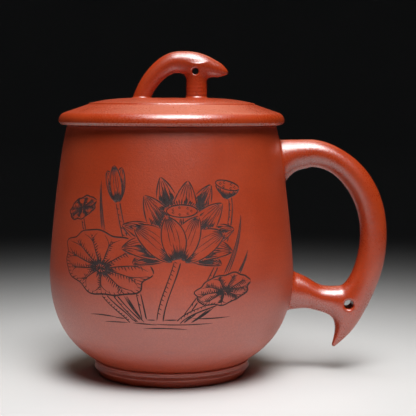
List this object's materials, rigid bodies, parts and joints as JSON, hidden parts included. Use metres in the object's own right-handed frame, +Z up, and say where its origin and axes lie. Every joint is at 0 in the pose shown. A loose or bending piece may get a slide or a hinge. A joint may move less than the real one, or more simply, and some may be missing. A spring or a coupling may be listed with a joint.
{
  "type": "lidded tea cup",
  "caption": "Round-bellied unglazed clay tea cup on a foot ring, with a beaked loop handle and a loose domed lid that lifts off by an arched, beaked knob.",
  "frame": {"origin": "centre of the flat ring that the cup rests on", "axes": "+Z up, +X towards the handle, so that the handle and the knob lie in the XZ plane"},
  "size_m": [0.1415, 0.1022, 0.1352],
  "materials": {
    "red_clay": "unglazed fired clay, satin"
  },
  "bodies": {
    "cup": {"cup_wall": "red_clay", "cup_floor": "red_clay", "foot_ring": "red_clay", "handle_loop": "red_clay", "handle_bridge": "red_clay"},
    "lid_seat": {"lid_flange": "red_clay"},
    "lid": {"lid_plate": "red_clay", "lid_crown": "red_clay", "knob_arch": "red_clay", "knob_post": "red_clay"}
  },
  "joints": [
    {"name": "lid_lift", "type": "slide", "parent": "cup", "child": "lid_seat", "axis": [0, 0, 1], "range_m": [0, 0.1]},
    {"name": "lid_turn", "type": "hinge", "parent": "lid_seat", "child": "lid", "pos_m": [0, 0, 0.1046], "axis": [0, 0, 1], "continuous": true}
  ]
}
